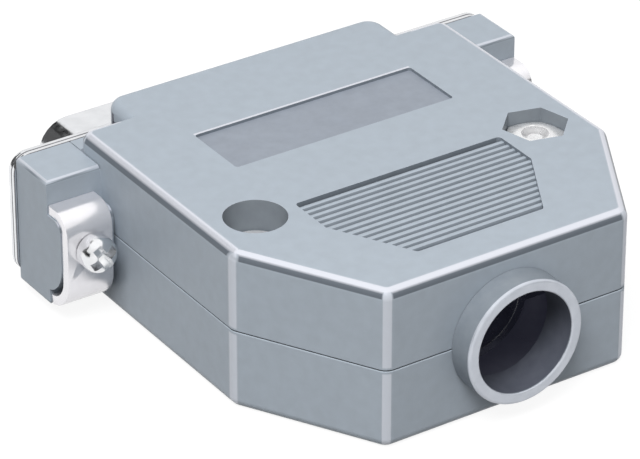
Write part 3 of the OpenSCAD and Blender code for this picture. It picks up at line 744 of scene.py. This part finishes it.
def cross_punch(span, width, depth, rise):
    """Tapered cross that stamps a head's recess, its point down at minus depth."""
    mesh = bmesh.new()
    rows = []
    levels = ((-depth, recess_point), (-depth * recess_waist_depth, recess_waist), (rise, recess_mouth))
    for height, (span_share, width_share) in levels:
        reach = span * span_share
        half_arm = width * width_share
        outline = []
        for quarter in range(4):
            turn = Matrix.Rotation(quarter * math.pi / 2, 2)
            arm = ((reach, -half_arm), (reach, half_arm), (half_arm, half_arm))
            outline += [turn @ Vector(point) for point in arm]
        rows.append([mesh.verts.new((point.x, point.y, height)) for point in outline])
    for lower, upper in zip(rows, rows[1:]):
        skin(mesh, lower, upper)
    mesh.faces.new(rows[0][::-1])
    mesh.faces.new(rows[-1])
    return as_object("cross_punch", mesh)


def stamp(piece, punch):
    """Cuts the punch's shape out of the piece, and takes the punch away."""
    cut = piece.modifiers.new("recess", "BOOLEAN")
    cut.operation = "DIFFERENCE"
    cut.solver = "EXACT"
    cut.object = punch
    bpy.context.view_layer.update()
    evaluated = piece.evaluated_get(bpy.context.evaluated_depsgraph_get())
    data = bpy.data.meshes.new_from_object(evaluated)
    piece.modifiers.remove(cut)
    piece.data = data
    bpy.data.objects.remove(punch)


def cross_screw(name, finish, head_d, head_h, round_share, recess_share, neck, thread_size, thread_top, tip):
    """Screw along its own axis: seat at height 0, head above, thread from thread_top down to tip."""
    mesh = bmesh.new()
    root = thread_size["root"]
    end_break = thread_size["crest"] - root
    head_r = head_d / 2
    round_r = head_h * round_share
    dome = [(head_r - round_r + round_r * math.cos(t), head_h - round_r + round_r * math.sin(t))
            for t in [math.radians(degrees) for degrees in head_round_degrees]]
    under_head = [(neck, thread_top), (neck, 0), (head_r - head_break, 0), (head_r, head_break)]
    turned(mesh, under_head + dome, "top")
    turned(mesh, [(root, thread_top), (neck, thread_top)], "none")
    thread(mesh, **thread_size, bottom=tip + end_break, top=thread_top)
    turned(mesh, [(root - end_break, tip), (root, tip + end_break)], "bottom")
    piece = as_object(name, mesh)
    punch = cross_punch(head_d * recess_share, head_d * recess_arm_share,
                        head_h * recess_depth_share, head_h * recess_rise_share)
    punch.data.transform(Matrix.Translation((0, 0, head_h)))
    stamp(piece, punch)
    smooth = piece.modifiers.new("smooth_rounds", "NODES")
    smooth.node_group = rounds
    piece.data.materials.append(finish)
    return piece


def fit_screw(piece, place, node, body):
    """Puts a screw in the place of its plain solid."""
    piece.data.transform(place)
    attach(piece, body)
    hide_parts(node)


for side in ("left", "right"):
    node = f"clamp_screw_{side}"
    low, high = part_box(node)
    middle = (low + high) / 2
    seat = high.z - clamp_head_h
    screw = cross_screw(
        f"threaded_{node}", zinc, head_d=high.x - low.x, head_h=clamp_head_h,
        round_share=clamp_round_share, recess_share=fine_recess_share,
        neck=fine_thread["crest"], thread_size=fine_thread, thread_top=-clamp_neck_h, tip=low.z - seat)
    fit_screw(screw, Matrix.Translation((middle.x, middle.y, seat)), node, "connector")

# Hood screws and nuts
# Flat-topped screws and hexagon nuts of steel with a duller zinc plate, which hold the two halves together.
# One screw enters from above and one from below, each into a nut in the other half's pocket.
hood_head_h = 2.0 * mm
hood_round_share = 0.08
hood_neck_h = 3.2 * mm
nut_edge = 0.06 * mm
dull_zinc_dark = (0.87, 0.87, 0.88, 1.0)
dull_zinc_bright = (0.93, 0.93, 0.935, 1.0)
dull_zinc_roughness = 0.28
dull_zinc_mark_depth = 0.0001 * mm
dull_zinc_metallic = 0.5
dull_zinc = plating("dull_zinc", dull_zinc_dark, dull_zinc_bright, dull_zinc_roughness, even_marks,
                    dull_zinc_mark_depth)
preset(dull_zinc, {"Metallic": dull_zinc_metallic})
for side, enters_from_above in (("left", True), ("right", False)):
    node = f"hood_screw_{side}"
    low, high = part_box(node)
    middle = (low + high) / 2
    seat = high.z - hood_head_h if enters_from_above else low.z + hood_head_h
    length = (high.z - low.z) - hood_head_h
    screw = cross_screw(
        f"threaded_{node}", dull_zinc, head_d=high.x - low.x, head_h=hood_head_h,
        round_share=hood_round_share, recess_share=fine_recess_share,
        neck=fine_thread["crest"], thread_size=fine_thread, thread_top=-hood_neck_h, tip=-length)
    turn = Matrix.Rotation(0 if enters_from_above else math.pi, 4, "Y")
    fit_screw(screw, Matrix.Translation((middle.x, middle.y, seat)) @ turn, node, "connector")
    nut = nodes[f"hood_nut_{side}"]
    dress(nut, dull_zinc)
    ease_edges(nut, nut_edge)

# Clips
# Spring-steel strips with a bright nickel plate, bent round the noses of the wings.
# Two tongues on each slide into slots of the wing, and its hole keeps the locking screw from falling out.
clip_edge = 0.08 * mm
nickel_dark = (0.87, 0.86, 0.89, 1.0)
nickel_bright = (0.91, 0.90, 0.93, 1.0)
nickel_roughness = 0.2
nickel_marks = (0.2, 1.0, 1.0)
nickel_mark_depth = 0.0001 * mm
nickel_metallic = 0.66
nickel = plating("bright_nickel", nickel_dark, nickel_bright, nickel_roughness, nickel_marks,
                 nickel_mark_depth)
preset(nickel, {"Metallic": nickel_metallic})
for name in ("left_clip", "right_clip"):
    dress(nodes[name], nickel)
    # The step at a tongue is narrower than its rounding, so the flats round it stay apart.
    ease_edges(nodes[name], clip_edge, join_flats=False)

# Locking screws
# Long screws of zinc-plated steel behind the wings, which lock the plug to its mating socket.
# Each has a plain neck in the clip, where it turns freely, and a thread past the flange.
lock_head_h = 2.2 * mm
lock_round_share = 0.45
lock_recess_share = 0.86
lock_thread = {"crest": 1.42 * mm, "root": 1.05 * mm, "pitch": 0.635 * mm}
lock_recess_turn = math.radians(30)
flange_y = 0.0
for side in ("left", "right"):
    node = f"{side}_locking_screw"
    low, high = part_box(node)
    middle = (low + high) / 2
    seat = low.y + lock_head_h
    screw = cross_screw(
        f"threaded_{node}", zinc, head_d=high.x - low.x, head_h=lock_head_h,
        round_share=lock_round_share, recess_share=lock_recess_share,
        neck=lock_thread["root"], thread_size=lock_thread, thread_top=seat - flange_y, tip=seat - high.y)
    turn = Matrix.Rotation(math.pi / 2, 4, "X") @ Matrix.Rotation(lock_recess_turn, 4, "Z")
    fit_screw(screw, Matrix.Translation((middle.x, seat, 0)) @ turn, node, f"{side}_screw")

# Studio
# A pale floor, clear from below, a soft key light, even light all round, and cards seen only in reflections.
# The camera is a long lens with its axis through the middle of the picture.
set_middle = Vector((0, -20 * mm, 0))
white = (1.0, 1.0, 1.0, 1.0)

# Camera, fitted to the picture
picture_w = 640
sensor_w = 36.0
camera_focal_px = 4244.2
camera_azimuth = -33.507
camera_elevation = 30.328
camera_distance = 392.0 * mm
camera_aim = Vector((-3.86, -17.822, -0.37)) * mm
camera_near = 10 * mm
camera_far = 10.0

# Floor, even light and key light
floor_z = body_low.z - 0.02 * mm
floor_reach = 3.0
floor_grey = (0.16, 0.16, 0.16, 1.0)
floor_glow = 0.9
matt = 0.9
even_light = 0.38
ceiling_start = (0.6, 0.8)
ceiling_levels = (1.0, 1.2)
key_azimuth = -47
key_elevation = 56
key_distance = 0.7
key_size = 0.3
key_watts = 3.8

# Cards
card_distance = 0.4
card_foot = floor_z + 0.02
card_black = (0.005, 0.005, 0.005, 1.0)
grey_card_glow = 0.1


def bearing(azimuth, elevation):
    """Direction from the connector in degrees, azimuth 0 being the side of the cable outlet."""
    a = math.radians(azimuth)
    e = math.radians(elevation)
    return Vector((math.sin(a) * math.cos(e), -math.cos(a) * math.cos(e), math.sin(e)))


def place_in_studio(name, data):
    """An object of the studio."""
    thing = bpy.data.objects.new(name, data)
    bpy.context.scene.collection.objects.link(thing)
    return thing


def flat_sheet(name, corners, finish):
    """Floor or card, which isn't part of the connector."""
    data = bpy.data.meshes.new(name)
    data.from_pydata(corners, [], [(0, 1, 2, 3)])
    data.materials.append(finish)
    sheet = place_in_studio(name, data)
    return sheet


def seen_directly(tree):
    """1 for camera rays, and for mirror and glass rays that haven't met a matt surface, otherwise 0."""
    rays = tree.nodes.new("ShaderNodeLightPath").outputs
    mirrored = combine(tree, "MAXIMUM", rays["Is Glossy Ray"], rays["Is Transmission Ray"])
    before_matt = combine(tree, "LESS_THAN", rays["Diffuse Depth"], 0.5)
    return combine(tree, "MAXIMUM", rays["Is Camera Ray"], product(tree, mirrored, before_matt))


camera_data = bpy.data.cameras.new("camera")
camera_data.sensor_width = sensor_w
camera_data.lens = camera_focal_px * sensor_w / picture_w
camera_data.clip_start = camera_near
camera_data.clip_end = camera_far
camera = place_in_studio("camera", camera_data)
camera.location = camera_aim + bearing(camera_azimuth, camera_elevation) * camera_distance
camera.rotation_euler = (math.pi / 2 - math.radians(camera_elevation), 0, math.radians(camera_azimuth))
bpy.context.scene.camera = camera
bpy.context.scene.view_settings.view_transform = "Standard"

floor_finish = new_finish("pale_floor")
floor_tree = floor_finish.node_tree
floor_shader = shader_of(floor_finish)
preset(floor_finish, {"Base Color": floor_grey, "Roughness": matt, "Emission Color": white})
floor_tree.links.new(product(floor_tree, seen_directly(floor_tree), floor_glow),
                     floor_shader.inputs["Emission Strength"])
floor_side = floor_tree.nodes.new("ShaderNodeMixShader")
underside = floor_tree.nodes.new("ShaderNodeNewGeometry").outputs["Backfacing"]
clear = floor_tree.nodes.new("ShaderNodeBsdfTransparent").outputs["BSDF"]
floor_tree.links.new(underside, floor_side.inputs["Fac"])
floor_tree.links.new(floor_shader.outputs["BSDF"], floor_side.inputs[1])
floor_tree.links.new(clear, floor_side.inputs[2])
floor_tree.links.new(floor_side.outputs["Shader"], floor_tree.nodes["Material Output"].inputs["Surface"])
flat_sheet("floor", [(-floor_reach, -floor_reach, floor_z), (floor_reach, -floor_reach, floor_z),
                     (floor_reach, floor_reach, floor_z), (-floor_reach, floor_reach, floor_z)], floor_finish)

world = bpy.data.worlds.new("studio")
bpy.context.scene.world = world
world.use_nodes = True
world_tree = world.node_tree
backdrop = world_tree.nodes["Background"]
backdrop.inputs["Color"].default_value = white
upwards = split(world_tree, world_tree.nodes.new("ShaderNodeTexCoord").outputs["Generated"])["Z"]
ceiling = ramp(world_tree, upwards, *ceiling_start, *ceiling_levels)
level = ramp(world_tree, seen_directly(world_tree), 0.0, 1.0, even_light, ceiling)
world_tree.links.new(level, backdrop.inputs["Strength"])

key_data = bpy.data.lights.new("key", "AREA")
key_data.shape = "SQUARE"
key_data.size = key_size
key_data.energy = key_watts
key = place_in_studio("key", key_data)
key.location = set_middle + bearing(key_azimuth, key_elevation) * key_distance
key.rotation_euler = bearing(key_azimuth, key_elevation).to_track_quat("Z", "Y").to_euler()
key.visible_glossy = False

black_card = new_finish("black_card")
preset(black_card, {"Base Color": card_black, "Roughness": matt, "Specular IOR Level": 0.0})
grey_card = new_finish("grey_card")
preset(grey_card, {"Base Color": card_black, "Specular IOR Level": 0.0,
                   "Emission Color": white, "Emission Strength": grey_card_glow})
for name, finish, azimuth, width, bottom, top in (
        ("card_front", black_card, 34, 0.4, -0.02, 0.13),
        ("card_left", black_card, -92, 0.4, -0.02, 0.13),
        ("card_back_left", grey_card, -141, 0.34, -0.02, 0.3),
        ("card_behind", black_card, -165, 0.2, 0.24, 0.42)):
    half_w = width / 2
    card = flat_sheet(name, [(-half_w, 0, bottom), (half_w, 0, bottom), (half_w, 0, top), (-half_w, 0, top)],
                      finish)
    card.location = set_middle + bearing(azimuth, 0) * card_distance
    card.location.z = card_foot
    card.rotation_euler = (0, 0, math.radians(azimuth))
    card.visible_camera = False
    card.visible_diffuse = False
    card.visible_shadow = False
